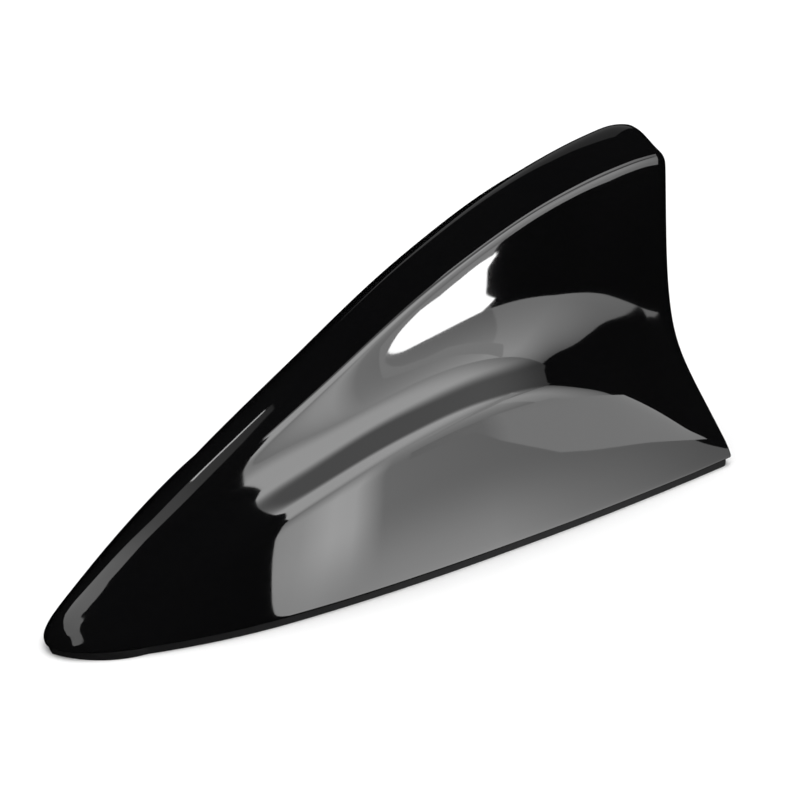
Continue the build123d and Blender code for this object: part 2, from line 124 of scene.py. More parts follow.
def guideValue(guide, share):
    # smooth curve through the guide's points that never overshoots
    spans = [(b[0] - a[0], (b[1] - a[1]) / (b[0] - a[0])) for a, b in zip(guide, guide[1:])]
    rates = [spans[0][1]]
    for before, after in zip(spans, spans[1:]):
        rates.append(0 if before[1] * after[1] <= 0 else 2 / (1 / before[1] + 1 / after[1]))
    rates.append(spans[-1][1])
    index = max(i for i in range(len(spans)) if i == 0 or guide[i][0] <= share)
    width = spans[index][0]
    t = (share - guide[index][0]) / width
    start = (1 + 2 * t) * (1 - t) ** 2 * guide[index][1] + t * (1 - t) ** 2 * width * rates[index]
    return start + t * t * (3 - 2 * t) * guide[index + 1][1] + t * t * (t - 1) * width * rates[index + 1]


def slope(degrees):
    return Vector((math.cos(math.radians(degrees)), -math.sin(math.radians(degrees))))


def inward(direction):
    return Vector((direction.y, -direction.x))


def fallAngle(start, end):
    return math.degrees(math.atan2(start.y - end.y, end.x - start.x))


def mitred(point, before, after, inset):
    # corner between two slopes, moved in from both
    first, second = inward(before), inward(after)
    return point + (first + second) * (inset / (1 + first.dot(second)))


def shareAt(x):
    s = finShell
    along = (x - s["noseX"]) / (s["tailX"] - s["noseX"])
    return math.sqrt(s["noseShare"] ** 2 + along * (1 - s["noseShare"] ** 2))


def stationX(share):
    s = finShell
    along = (share ** 2 - s["noseShare"] ** 2) / (1 - s["noseShare"] ** 2)
    return s["noseX"] + (s["tailX"] - s["noseX"]) * along


def halfSection(x, inset):
    # points of one half section from the ridge to the inner edge of the rim, as (y, z)
    s = finShell
    share = shareAt(x)
    rimZ = s["rimZ"]
    spineZ = rimZ + (s["height"] - rimZ) * guideValue(s["spine"], share)
    crownHalf = s["bladeThickness"] / 2 * guideValue(s["crownWidth"], share)
    crease = Vector((crownHalf, spineZ - s["crownDepth"] * guideValue(s["crownFall"], share)))
    tip = max(0, 1 - (s["tailX"] - x) / s["tipLength"])
    ridge = Vector((0, spineZ - s["tipFall"] * (1 - math.sqrt(1 - tip ** 2)) - inset))
    corner = Vector((s["width"] / 2 * guideValue(s["plan"], share), rimZ))
    hipZ = rimZ + (s["hipHeight"] - rimZ) * guideValue(s["hipRise"], share)
    hip = Vector((corner.x * guideValue(s["hipWidth"], share), hipZ))
    flank = fallAngle(crease, hip)
    skirt = fallAngle(hip, corner)
    bow = guideValue(s["skirtBow"], share)
    flankTop = slope(flank + guideValue(s["flankTop"], share))
    flankFoot = slope(flank - guideValue(s["flankFoot"], share))
    skirtTop = slope(skirt - bow)
    skirtFoot = slope(min(s["steepest"], skirt + bow))
    crownFoot = slope(fallAngle(ridge, crease) + guideValue(s["crownFoot"], share))
    crease = mitred(crease, crownFoot, flankTop, inset)
    crease = Vector((max(crease.x, 0), min(crease.y, ridge.y - s["ridgeRoom"])))
    creaseSoft = s["creaseRound"] * guideValue(s["creaseSoft"], share)
    creaseSoft = min(creaseSoft, s["creaseRoom"] * (crease - ridge).length)
    hip = mitred(hip, flankFoot, skirtTop, inset)
    corner = Vector((corner.x - inset, rimZ))
    edge = min(s["rimRound"], s["edgeRoom"] * corner.x)
    rim = corner - skirtFoot * edge
    under = corner - Vector((edge, 0))
    hipSoft = s["hipRound"] * guideValue(s["hipSoft"], share)
    knots = [  # places on the section with the slope there
        (ridge, Vector((1, 0))),
        (crease - crownFoot * creaseSoft, crownFoot),
        (crease + flankTop * creaseSoft, flankTop),
        (hip - flankFoot * hipSoft, flankFoot),
        (hip + skirtTop * min(hipSoft, s["hipRoom"] * (rim - hip).length), skirtTop),
        (rim, skirtFoot),
        (under, Vector((-1, 0))),
    ]
    points = [ridge]
    for (a, leave), (d, arrive), pulls, runs in zip(knots, knots[1:], s["pulls"], s["runs"]):
        chord = (d - a).length
        b, c = a + leave * (chord * pulls[0]), d - arrive * (chord * pulls[1])
        for run in range(1, runs + 1):
            t = run / runs
            points.append(a * (1 - t) ** 3 + b * (3 * t * (1 - t) ** 2)
                          + c * (3 * t * t * (1 - t)) + d * t ** 3)
    lip = min(s["rimLip"], s["lipRoom"] * corner.x)
    points.append(Vector((under.x - s["lipStep"] * (lip - edge), rimZ)))
    points.append(Vector((corner.x - lip, rimZ)))
    return points


def tailRound(z):
    # rounding of the rear edge at one height
    s = finShell
    low, high = s["tailEdgeRise"]
    rise = min(max((z - low) / (high - low), 0), 1)
    return s["tailEdge"][0] + (s["tailEdge"][1] - s["tailEdge"][0]) * rise * rise * (3 - 2 * rise)


def shellSections():
    # rows of (x, y, z) from the nose to the rounded rear edge
    s = finShell
    tipX = s["tailX"] - s["tipLength"]
    lastShare = shareAt(tipX)
    rows = []
    for step in range(s["bodyStations"]):
        x = stationX(s["noseShare"] + (lastShare - s["noseShare"]) * step / s["bodyStations"])
        rows.append([(x, point.x, point.y) for point in halfSection(x, 0)])
    rounds = [tailRound(point.y) for point in halfSection(s["tailX"] - s["tailEdge"][1], 0)]
    quarters = [90 * step / s["tipStations"] for step in range(s["tipStations"] + 1)]
    places = [(math.sin(math.radians(quarter)), 0) for quarter in quarters]
    places += [(1, turn) for turn in s["tailTurns"]]
    for part, turn in places:
        row = []
        for column, edge in enumerate(rounds):
            x = tipX + ((s["tipLength"] - edge) * part + edge * math.sin(math.radians(turn)))
            point = halfSection(x, edge * (1 - math.cos(math.radians(turn))))[column]
            row.append((x, point.x, point.y))
        rows.append(row)
    return rows


def leaned(x, y, z):
    # the sections lean forward towards the tail
    s = finShell
    lean = s["tailRake"] / (s["height"] - s["rimZ"]) * shareAt(x) ** s["rakeOnset"]
    return Vector((x - lean * (z - s["rimZ"]), y, z))


def addPiece(name, bm):
    mesh = bpy.data.meshes.new(name)
    bm.to_mesh(mesh)
    bm.free()
    mesh.shade_smooth()
    piece = bpy.data.objects.new(name, mesh)
    bpy.context.scene.collection.objects.link(piece)
    return piece


def buildFinShell():
    s = finShell
    sections = shellSections()
    rows = len(sections)
    columns = len(sections[0])
    bm = bmesh.new()
    bmesh.ops.create_grid(bm, x_segments=rows + 1, y_segments=columns - 1, size=1)
    for vert in bm.verts:
        row = round((vert.co.x + 1) / 2 * (rows + 1)) - 1
        column = round((vert.co.y + 1) / 2 * (columns - 1))
        closing = row < 0 or row >= rows  # these rows close nose and tail on the middle plane
        row = min(max(row, 0), rows - 1)
        x, y, z = sections[row][column]
        vert.co = leaned(x, 0 if closing else y, z)
    bmesh.ops.mirror(bm, geom=bm.verts[:] + bm.edges[:] + bm.faces[:], axis="Y", merge_dist=s["mergeGap"])
    bmesh.ops.remove_doubles(bm, verts=bm.verts[:], dist=s["doubleGap"])
    bmesh.ops.dissolve_degenerate(bm, dist=s["mergeGap"], edges=bm.edges[:])
    bmesh.ops.recalc_face_normals(bm, faces=bm.faces[:])
    shell = addPiece("fin_shell", bm)
    smooth = shell.modifiers.new("smooth", "SUBSURF")
    smooth.levels = s["subdivision"]
    smooth.render_levels = s["subdivision"]
    thin = shell.vertex_groups.new(name="wallShare")  # no room for a full wall inside the sharp nose
    for vert in shell.data.vertices:
        share = (vert.co.x - s["noseX"] - s["noseSolid"]) / s["noseSolid"]
        thin.add([vert.index], min(max(share, s["thinnestWall"]), 1), "REPLACE")
    wall = shell.modifiers.new("wall", "SOLIDIFY")
    wall.thickness = s["wall"]
    wall.offset = -1
    wall.vertex_group = thin.name
    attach(shell, "root")
    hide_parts("outer_shell")
    return shell


finPiece = buildFinShell()
print("fin shell built:", len(finPiece.data.polygons), "cage faces")

# Grain that the finishes share
grain = {
    "sockets": (("Scale", 400), ("Coarse Scale", 40), ("Blend", 0.5)),
    "details": (3, 2),  # fine and coarse
    "maskSpan": (0.3, 0.7),  # where the mask starts and ends its change
}


def grainGroup():
    # fine and coarse mottling
    group = bpy.data.node_groups.new("surfaceGrain", "ShaderNodeTree")
    group.interface.new_socket("Vector", in_out="INPUT", socket_type="NodeSocketVector")
    for name, value in grain["sockets"]:
        socket = group.interface.new_socket(name, in_out="INPUT", socket_type="NodeSocketFloat")
        socket.default_value = value
    for name in ("Mask", "Height"):
        group.interface.new_socket(name, in_out="OUTPUT", socket_type="NodeSocketFloat")
    nodes = group.nodes
    links = group.links
    start = nodes.new("NodeGroupInput")
    end = nodes.new("NodeGroupOutput")
    fine = nodes.new("ShaderNodeTexNoise")
    coarse = nodes.new("ShaderNodeTexNoise")
    fine.inputs["Detail"].default_value, coarse.inputs["Detail"].default_value = grain["details"]
    links.new(start.outputs["Vector"], fine.inputs["Vector"])
    links.new(start.outputs["Vector"], coarse.inputs["Vector"])
    links.new(start.outputs["Scale"], fine.inputs["Scale"])
    links.new(start.outputs["Coarse Scale"], coarse.inputs["Scale"])
    mix = nodes.new("ShaderNodeMix")
    links.new(start.outputs["Blend"], mix.inputs["Factor"])
    links.new(fine.outputs["Fac"], mix.inputs["A"])
    links.new(coarse.outputs["Fac"], mix.inputs["B"])
    links.new(mix.outputs["Result"], end.inputs["Mask"])
    links.new(fine.outputs["Fac"], end.inputs["Height"])
    return group


surfaceGrain = grainGroup()


def startFinish(name, scales):
    # material with Object coordinates, the shared grain and a Principled shader
    material = bpy.data.materials.new(name)
    material.use_nodes = True
    nodes = material.node_tree.nodes
    links = material.node_tree.links
    shader = nodes["Principled BSDF"]
    place = nodes.new("ShaderNodeTexCoord")
    mottle = nodes.new("ShaderNodeGroup")
    mottle.node_tree = surfaceGrain
    for (socket, _), value in zip(grain["sockets"], scales):
        mottle.inputs[socket].default_value = value
    links.new(place.outputs["Object"], mottle.inputs["Vector"])
    return material, nodes, links, shader, place, mottle


def tint(nodes, links, mask, colours, target):
    # colour between two tones by a mask
    ramp = nodes.new("ShaderNodeValToRGB")
    for element, position, colour in zip(ramp.color_ramp.elements, grain["maskSpan"], colours):
        element.position = position
        element.color = (*colour, 1)
    links.new(mask, ramp.inputs["Fac"])
    links.new(ramp.outputs["Color"], target)
    return ramp


def cover(nodes, links, mask, ramp, colour, target):
    # one more colour over a tint where the mask is full
    over = nodes.new("ShaderNodeMix")
    over.data_type = "RGBA"
    over.inputs["B"].default_value = (*colour, 1)
    links.new(mask, over.inputs["Factor"])
    links.new(ramp.outputs["Color"], over.inputs["A"])
    links.new(over.outputs["Result"], target)


def spread(nodes, links, mask, low, high, target):
    # value between two limits by a mask
    scale = nodes.new("ShaderNodeMapRange")
    scale.inputs["From Min"].default_value, scale.inputs["From Max"].default_value = grain["maskSpan"]
    scale.inputs["To Min"].default_value = low
    scale.inputs["To Max"].default_value = high
    links.new(mask, scale.inputs["Value"])
    links.new(scale.outputs["Result"], target)


def relief(nodes, links, height, strength, distance, shader):
    bump = nodes.new("ShaderNodeBump")
    bump.inputs["Strength"].default_value = strength
    bump.inputs["Distance"].default_value = distance
    links.new(height, bump.inputs["Height"])
    links.new(bump.outputs["Normal"], shader.inputs["Normal"])


def combine(nodes, links, operation, first, second):
    # two values worked into one, the second may be a plain number
    joined = nodes.new("ShaderNodeMath")
    joined.operation = operation
    links.new(first, joined.inputs[0])
    if isinstance(second, bpy.types.NodeSocket):
        links.new(second, joined.inputs[1])
    else:
        joined.inputs[1].default_value = second
    return joined.outputs["Value"]


gloss = {
    "tones": ((0.0022, 0.0022, 0.0024), (0.0032, 0.0032, 0.0034)),
    "grain": (900, 35, 0.6),
    "rough": (0.03, 0.06),
    "ior": 1.5,
    "peelScale": 160,
    "peelDetail": 1,
    "wave": (0.02, 0.05 * mm),
}


def pianoBlack():
    material, nodes, links, shader, place, mottle = startFinish("piano_black", gloss["grain"])
    tint(nodes, links, mottle.outputs["Mask"], gloss["tones"], shader.inputs["Base Color"])
    spread(nodes, links, mottle.outputs["Mask"], *gloss["rough"], shader.inputs["Roughness"])
    shader.inputs["IOR"].default_value = gloss["ior"]
    peel = nodes.new("ShaderNodeTexNoise")  # faint unevenness of the lacquer
    peel.inputs["Scale"].default_value = gloss["peelScale"]
    peel.inputs["Detail"].default_value = gloss["peelDetail"]
    links.new(place.outputs["Object"], peel.inputs["Vector"])
    relief(nodes, links, peel.outputs["Fac"], *gloss["wave"], shader)
    return material


# Plain finishes under and inside the shell: two tones, grain, roughness, and relief where there is any
looks = {
    "gasket_rubber": {"tones": ((0.004, 0.004, 0.0042), (0.008, 0.008, 0.0084)), "grain": (1800, 90, 0.35),
                      "rough": (0.6, 0.8), "shine": 0.1, "relief": (0.3, 0.05 * mm)},
    "foam_tape": {"tones": ((0.035, 0.035, 0.037), (0.06, 0.06, 0.062)), "grain": (2600, 240, 0.3),
                  "rough": (0.8, 0.95), "relief": (0.6, 0.12 * mm)},
    "moulded_base": {"tones": ((0.01, 0.01, 0.0105), (0.017, 0.017, 0.018)), "grain": (2200, 60, 0.4),
                     "rough": (0.42, 0.6), "relief": (0.25, 0.04 * mm)},
    "silicone_bead": {"tones": ((0.2, 0.2, 0.21), (0.28, 0.28, 0.29)), "grain": (700, 80, 0.6),
                      "rough": (0.3, 0.45), "relief": (0.2, 0.05 * mm)},
    "zinc_steel": {"tones": ((0.5, 0.49, 0.46), (0.68, 0.67, 0.63)), "grain": (1600, 220, 0.5),
                   "rough": (0.26, 0.42), "metal": 1, "relief": (0.15, 0.02 * mm)},
    "grommet_rubber": {"tones": ((0.014, 0.014, 0.014), (0.024, 0.024, 0.024)), "grain": (1500, 120, 0.5),
                       "rough": (0.55, 0.75), "relief": (0.25, 0.05 * mm)},
    "foam_block": {"tones": ((0.03, 0.03, 0.032), (0.055, 0.055, 0.058)), "grain": (3000, 300, 0.3),
                   "rough": (0.85, 0.97), "relief": (0.8, 0.2 * mm)},
    "nylon_former": {"tones": ((0.55, 0.52, 0.43), (0.63, 0.6, 0.51)), "grain": (900, 120, 0.6),
                     "rough": (0.38, 0.5)},
    "chip_epoxy": {"tones": ((0.011, 0.011, 0.012), (0.02, 0.02, 0.021)), "grain": (4000, 500, 0.4),
                   "rough": (0.45, 0.62), "relief": (0.2, 0.02 * mm)},
    "ferrite": {"tones": ((0.022, 0.021, 0.021), (0.05, 0.048, 0.047)), "grain": (3500, 500, 0.4),
                "rough": (0.5, 0.75), "relief": (0.3, 0.03 * mm)},
    "solder": {"tones": ((0.52, 0.52, 0.51), (0.7, 0.7, 0.69)), "grain": (1200, 300, 0.5),
               "rough": (0.18, 0.38), "metal": 1, "relief": (0.3, 0.05 * mm)},
}
usualShine = 0.5


def plainFinish(name):
    look = looks[name]
    material, nodes, links, shader, _, mottle = startFinish(name, look["grain"])
    tint(nodes, links, mottle.outputs["Mask"], look["tones"], shader.inputs["Base Color"])
    spread(nodes, links, mottle.outputs["Mask"], *look["rough"], shader.inputs["Roughness"])
    shader.inputs["Metallic"].default_value = look.get("metal", 0)
    shader.inputs["Specular IOR Level"].default_value = look.get("shine", usualShine)
    if "relief" in look:
        relief(nodes, links, mottle.outputs["Height"], *look["relief"], shader)
    return material


board = {
    "mask": ((0.008, 0.06, 0.026), (0.012, 0.08, 0.034)),
    "tracks": (0.03, 0.15, 0.06),
    "grain": (1500, 60, 0.5),
    "rough": (0.24, 0.36),
    "pitch": 210,
    "trackWidth": 0.035,
    "trackBlur": 0.1,
    "relief": (0.3, 0.03 * mm),
}


def boardFinish(name, turn):
    # green solder mask with faint tracks under it, turned into the plane of the board
    material, nodes, links, shader, place, mottle = startFinish(name, board["grain"])
    lay = nodes.new("ShaderNodeMapping")
    lay.inputs["Rotation"].default_value = turn
    links.new(place.outputs["Object"], lay.inputs["Vector"])
    tracks = nodes.new("ShaderNodeTexBrick")
    tracks.inputs["Scale"].default_value = board["pitch"]
    tracks.inputs["Mortar Size"].default_value = board["trackWidth"]
    tracks.inputs["Mortar Smooth"].default_value = board["trackBlur"]
    links.new(lay.outputs["Vector"], tracks.inputs["Vector"])
    ramp = tint(nodes, links, mottle.outputs["Mask"], board["mask"], shader.inputs["Base Color"])
    cover(nodes, links, tracks.outputs["Fac"], ramp, board["tracks"], shader.inputs["Base Color"])
    spread(nodes, links, mottle.outputs["Mask"], *board["rough"], shader.inputs["Roughness"])
    relief(nodes, links, tracks.outputs["Fac"], *board["relief"], shader)
    return material


copper = {
    "tones": ((0.46, 0.16, 0.07), (0.72, 0.31, 0.16)),
    "grain": (1400, 200, 0.5),
    "rough": (0.2, 0.36),
    "wire": 0.5 * mm,
    "grooves": (0.6, 0.15 * mm),
    "relief": (0.15, 0.02 * mm),
}


def copperFinish(name, wound):
    # bright copper, with the turns of a winding as fine grooves
    material, nodes, links, shader, place, mottle = startFinish(name, copper["grain"])
    tint(nodes, links, mottle.outputs["Mask"], copper["tones"], shader.inputs["Base Color"])
    spread(nodes, links, mottle.outputs["Mask"], *copper["rough"], shader.inputs["Roughness"])
    shader.inputs["Metallic"].default_value = 1
    if wound:
        turns = nodes.new("ShaderNodeTexWave")
        turns.bands_direction = "Z"
        turns.inputs["Scale"].default_value = math.pi / 10 / copper["wire"]  # one wave for each wire
        links.new(place.outputs["Object"], turns.inputs["Vector"])
        relief(nodes, links, turns.outputs["Fac"], *copper["grooves"], shader)
    else:
        relief(nodes, links, mottle.outputs["Height"], *copper["relief"], shader)
    return material


tinplate = {
    "tones": ((0.5, 0.5, 0.49), (0.72, 0.72, 0.71)),
    "grain": (900, 150, 0.5),
    "rough": (0.2, 0.42),
    "spangle": 260,
    "relief": (0.1, 0.02 * mm),
}


def tinplateFinish():
    # tinned steel with crystals that catch the light differently
    material, nodes, links, shader, place, mottle = startFinish("tinplate", tinplate["grain"])
    crystals = nodes.new("ShaderNodeTexVoronoi")
    crystals.inputs["Scale"].default_value = tinplate["spangle"]
    links.new(place.outputs["Object"], crystals.inputs["Vector"])
    split = nodes.new("ShaderNodeSeparateColor")
    links.new(crystals.outputs["Color"], split.inputs["Color"])
    tint(nodes, links, split.outputs["Red"], tinplate["tones"], shader.inputs["Base Color"])
    spread(nodes, links, split.outputs["Green"], *tinplate["rough"], shader.inputs["Roughness"])
    shader.inputs["Metallic"].default_value = 1
    relief(nodes, links, mottle.outputs["Height"], *tinplate["relief"], shader)
    return material


ceramic = {
    "tones": ((0.24, 0.15, 0.085), (0.33, 0.21, 0.12)),
    "ends": (0.66, 0.66, 0.64),
    "grain": (3000, 400, 0.5),
    "rough": (0.4, 0.55),
    "pitch": 3.4 * mm,
    "length": 2 * mm,
    "cap": 0.4 * mm,
}


def ceramicFinish():
    # tan ceramic bodies in a row along X, each with a tinned cap at both ends
    low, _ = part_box("chip_capacitors")
    material, nodes, links, shader, place, mottle = startFinish("ceramic", ceramic["grain"])
    split = nodes.new("ShaderNodeSeparateXYZ")
    links.new(place.outputs["Object"], split.inputs["Vector"])
    half = ceramic["length"] / 2
    along = combine(nodes, links, "SUBTRACT", split.outputs["X"], low[0] + half)
    within = combine(nodes, links, "PINGPONG", along, ceramic["pitch"] / 2)
    capped = combine(nodes, links, "GREATER_THAN", within, half - ceramic["cap"])
    ramp = tint(nodes, links, mottle.outputs["Mask"], ceramic["tones"], shader.inputs["Base Color"])
    cover(nodes, links, capped, ramp, ceramic["ends"], shader.inputs["Base Color"])
    links.new(capped, shader.inputs["Metallic"])
    spread(nodes, links, mottle.outputs["Mask"], *ceramic["rough"], shader.inputs["Roughness"])
    return material


def dress(piece, material):
    if not piece.material_slots:
        piece.data.materials.append(material)
    for slot in piece.material_slots:
        slot.material = material


def dressNodes():
    steel = plainFinish("zinc_steel")
    tin = tinplateFinish()
    wound = copperFinish("copper_winding", True)
    finishes = {
        "seal_gasket": plainFinish("gasket_rubber"),
        "adhesive_pad": plainFinish("foam_tape"),
        "base_plate": plainFinish("moulded_base"),
        "rim_seal": plainFinish("silicone_bead"),
        "shell_screws": steel,
        "board_screws": steel,
        "cable_grommet": plainFinish("grommet_rubber"),
        "amplifier_board": boardFinish("flat_board", (0, 0, 0)),
        "radiator_board": boardFinish("upright_board", (math.radians(-90), 0, 0)),
        "radiator_trace": copperFinish("copper_track", False),
        "matching_coil": wound,
        "choke_winding": wound,
        "top_load_strip": tin,
        "shield_can": tin,
        "anti_rattle_pad": plainFinish("foam_block"),
        "coil_former": plainFinish("nylon_former"),
        "amplifier_chip": plainFinish("chip_epoxy"),
        "chip_capacitors": ceramicFinish(),
        "choke_core": plainFinish("ferrite"),
        "tab_solder": plainFinish("solder"),
    }
    for node, material in finishes.items():
        dress(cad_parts[node], material)
    return len(finishes)


dress(finPiece, pianoBlack())
print("finishes done:", dressNodes(), "nodes dressed")

# Studio: pale floor and even soft light
studio = {
    "floorRadius": 3.0,
    "floorSides": 96,
    "floorDrop": 0.05 * mm,
    "floorColour": (0.9, 0.9, 0.9),
    "floorMottle": 0.99,
    "floorGrain": (60, 4, 0.5),
    "floorRough": 0.9,
    "topSize": 1.6,
    "topHeight": 1.5,
    "topPower": 16,
    "around": 0.8,
}


def buildFloor():
    bm = bmesh.new()
    bmesh.ops.create_circle(bm, cap_ends=True, segments=studio["floorSides"], radius=studio["floorRadius"])
    bmesh.ops.translate(bm, verts=bm.verts[:], vec=(0, 0, cadBox[0][2] - studio["floorDrop"]))
    floor = addPiece("floor", bm)
    material, nodes, links, shader, _, mottle = startFinish("floor_paper", studio["floorGrain"])
    pale = studio["floorColour"]
    mottled = [c * studio["floorMottle"] for c in pale]
    tint(nodes, links, mottle.outputs["Mask"], (mottled, pale), shader.inputs["Base Color"])
    shader.inputs["Roughness"].default_value = studio["floorRough"]
    dress(floor, material)
    floor.visible_glossy = False  # the gloss shows only the light tent


def hangLamp():
    data = bpy.data.lights.new("top_light", "AREA")
    data.shape = "SQUARE"
    data.size = studio["topSize"]
    data.energy = studio["topPower"]
    lamp = bpy.data.objects.new("top_light", data)
    lamp.location = (0, 0, studio["topHeight"])
    lamp.visible_glossy = False
    bpy.context.scene.collection.objects.link(lamp)


def lightAround():
    world = bpy.data.worlds.new("studio")
    world.use_nodes = True
    world.node_tree.nodes["Background"].inputs["Color"].default_value = (*[studio["around"]] * 3, 1)
    world.cycles_visibility.glossy = False
    bpy.context.scene.world = world


buildFloor()
hangLamp()
lightAround()
print("studio built: floor, lamp and world")

# Light tent that the gloss mirrors, in millimetres: upright cards by (along, up) in planes turned to the fin and
# level cards by (x, y), each with its distance out or height first; levels are shares of the strength
tent = {
    "turn": 33,  # degrees from -Y towards +X
    "strength": 8,
    "upright": {
        "side": (100, [(-64, -60), (-74, -30), (-82, -9), (-91, 22), (-96, 50), (-100, 72), (-101, 89),
                       (22, 89), (22, 31), (21.5, 27), (21.5, 23), (64, 13), (76, 13), (76, -60)]),
        "back": (140, [(5, 28), (30, 26.5), (50, 25.5), (58, 23), (66, 20), (73, 19.5), (77, 28), (80, 36),
                       (86, 55), (91, 90), (93, 125), (5, 125)]),
        "spot": (99, [(-20.5, 40.3), (-12, 39), (-4, 37.3), (4, 35.9), (12, 34.2), (19, 32.6), (24, 29),
                      (21.5, 27.5), (22.3, 26), (12, 27), (4, 29.3), (-4, 31.8), (-12, 34.5), (-18, 37.5)]),
        "edge": (45, [(-14, 40.6), (-11.3, 40.8), (-7.4, 42.1), (-1.1, 43.3), (5, 43.2), (10.6, 44.3),
                      (15.4, 45.7), (19, 46.3), (19.5, 50.5), (12, 49), (4, 47), (-7, 45), (-14, 43)]),
        "lobe": (65, [(-22, 27), (-3, 25.6), (3.4, 20.1), (9.7, 16.1), (16.2, 12.4), (23.2, 11.1),
                      (30.2, 10.4), (37.6, 9.9), (45, 9.1), (51, 8.5), (51, 20), (50, 29), (25, 30),
                      (22, 34.8), (12, 35.2), (4, 35.9), (-4, 36.9), (-12, 38.4), (-22, 38.5)]),
        "tipFlag": (65, [(47, 51.2), (49.5, 52.4), (52, 53.2), (54, 53.8), (60, 54.2), (60, 45), (50, 47.5),
                         (47, 49)]),
        "tailFlag": (65, [(55.4, 29.6), (62, 30), (90, 26), (90, 15), (55.4, 22)]),
    },
    "level": {
        "roof": (88, [(-40, -22), (12, -21), (16, -18), (100, -20), (106, -42), (110, -45), (-28, -139),
                      (-30, -119), (-35, -90), (-36, -45), (-39, -34)]),
        "rear": (88, [(30, 60), (44, 22), (55, 6), (67, -2), (75.5, -6), (84, 0), (100, 12), (115, 20),
                      (130, 40), (130, 150), (25, 150)]),
        "nose": (88, [(-34, -7), (-38, -6.5), (-44.5, -6), (-52, -5), (-60.5, -3.5), (-68, -2), (-73, 0),
                      (-79.5, 1), (-88, -2), (-96, -5), (-103, -26), (-110, -37), (-115, -37.5), (-121, -41),
                      (-131, -47), (-148, -69), (-160, -80), (-182, -80), (-216, -76), (-218, -60),
                      (-207, -44), (-160, 22), (-124, 72), (-97.5, 83), (-82.5, 77), (-76, 66), (-70, 48),
                      (-61, 33), (-54, 18), (-46, 10), (-39, 5), (-34, 1)]),
        "line": (87.8, [(-62, 31), (-54, 20), (-46, 12), (-39, 7), (-36, 5), (-36, 2.5), (-39, 4), (-46, 8),
                        (-54, 15), (-62, 23)]),
    },
    # cards of one brightness: finish and strength, with none for the two black flags
    "even": {"spot": ("spot_card", 24), "edge": ("edge_card", 3.9), "tipFlag": ("tip_flag", 0),
             "tailFlag": ("tail_flag", 0), "rear": ("rear_card", 0.3), "line": ("line_card", 9)},
    "sideFoot": [(-94, 0.6), (-62, 0.65), (-45, 0.58), (0, 0.61), (20, 0.45), (76, 0.15)],
    "sideMiddle": [(-94, 0.68), (-74, 0.75), (-58, 0.97), (-48, 0.92), (-36, 0.38), (10, 0.29), (76, 0.16)],
    "sideHead": [(-94, 0.4), (-50, 0.55), (22, 0.69)],
    "sideLowSpan": (-26, 12),
    "sideHighSpan": (34, 88),
    "backLow": [(10, 0.38), (50, 0.38), (90, 0.19)],
    "backHigh": [(10, 0.72), (50, 0.65), (92, 0.15)],
    "backSpan": (30, 105),
    "lobeLevels": [(-22, 0.33), (0, 0.33), (6, 0.44), (51, 0.38)],
    "noseLevels": [(-160, 0.28), (-100, 0.33), (-88, 0.28), (-73, 0.15), (-62, 0.095), (-35, 0.05)],
    "roofValley": 26.2,  # dark band of the roof, mirrored by the valley
    "roofSkew": 0.158,
    "roofDim": 0.18,
    "roofBright": 0.7,
    "roofFront": 0.36,
    "roofFrontSpan": (58, 101),
    "roofBodySpan": (3, 15),  # counted from the dark band, as the next one
    "roofCrestSpan": (-9, -3),
    "roofCrest": 0.38,
    "roofTail": 0.4,
    "roofTailSpan": (55, 108),
}


def tentPoint(along, up, away):
    turn = math.radians(tent["turn"])
    outwards = Vector((math.sin(turn), -math.cos(turn), 0))
    sideways = Vector((math.cos(turn), math.sin(turn), 0))
    return (outwards * away + sideways * along + Vector((0, 0, up))) * mm


tentSideways = tentPoint(1, 0, 0).normalized()
tentOutwards = tentPoint(0, 0, 1).normalized()


def startGlow(name, strength):
    material = bpy.data.materials.new(name)
    material.use_nodes = True
    nodes = material.node_tree.nodes
    links = material.node_tree.links
    nodes.remove(nodes["Principled BSDF"])
    glow = nodes.new("ShaderNodeEmission")
    glow.inputs["Strength"].default_value = strength
    links.new(glow.outputs["Emission"], nodes["Material Output"].inputs["Surface"])
    return material, nodes, links, glow


def distanceAlong(nodes, links, direction):
    # distance from the middle of the object along one direction
    place = nodes.new("ShaderNodeTexCoord")
    along = nodes.new("ShaderNodeVectorMath")
    along.operation = "DOT_PRODUCT"
    along.inputs[1].default_value = direction
    links.new(place.outputs["Object"], along.inputs[0])
    return along.outputs["Value"]


def fade(nodes, links, value, span, ends=(0, 1), curve="SMOOTHSTEP"):
    # from one level to another between two places
    step = nodes.new("ShaderNodeMapRange")
    step.interpolation_type = curve
    step.inputs["From Min"].default_value = span[0] * mm
    step.inputs["From Max"].default_value = span[1] * mm
    step.inputs["To Min"].default_value = ends[0]
    step.inputs["To Max"].default_value = ends[1]
    links.new(value, step.inputs["Value"])
    return step.outputs["Result"]


def levelsAlong(nodes, links, value, stops):
    # brightness through a few stops along one direction
    start, end = stops[0][0], stops[-1][0]
    ramp = nodes.new("ShaderNodeValToRGB")
    while len(ramp.color_ramp.elements) < len(stops):
        ramp.color_ramp.elements.new(0.5)
    for element, (stop, level) in zip(ramp.color_ramp.elements, stops):
        element.position = (stop - start) / (end - start)
        element.color = (level, level, level, 1)
    links.new(fade(nodes, links, value, (start, end), curve="LINEAR"), ramp.inputs["Fac"])
    return ramp.outputs["Color"]


def blendLevels(nodes, links, factor, below, above):
    mix = nodes.new("ShaderNodeMix")
    mix.data_type = "RGBA"
    links.new(factor, mix.inputs["Factor"])
    links.new(below, mix.inputs["A"])
    links.new(above, mix.inputs["B"])
    return mix.outputs["Result"]


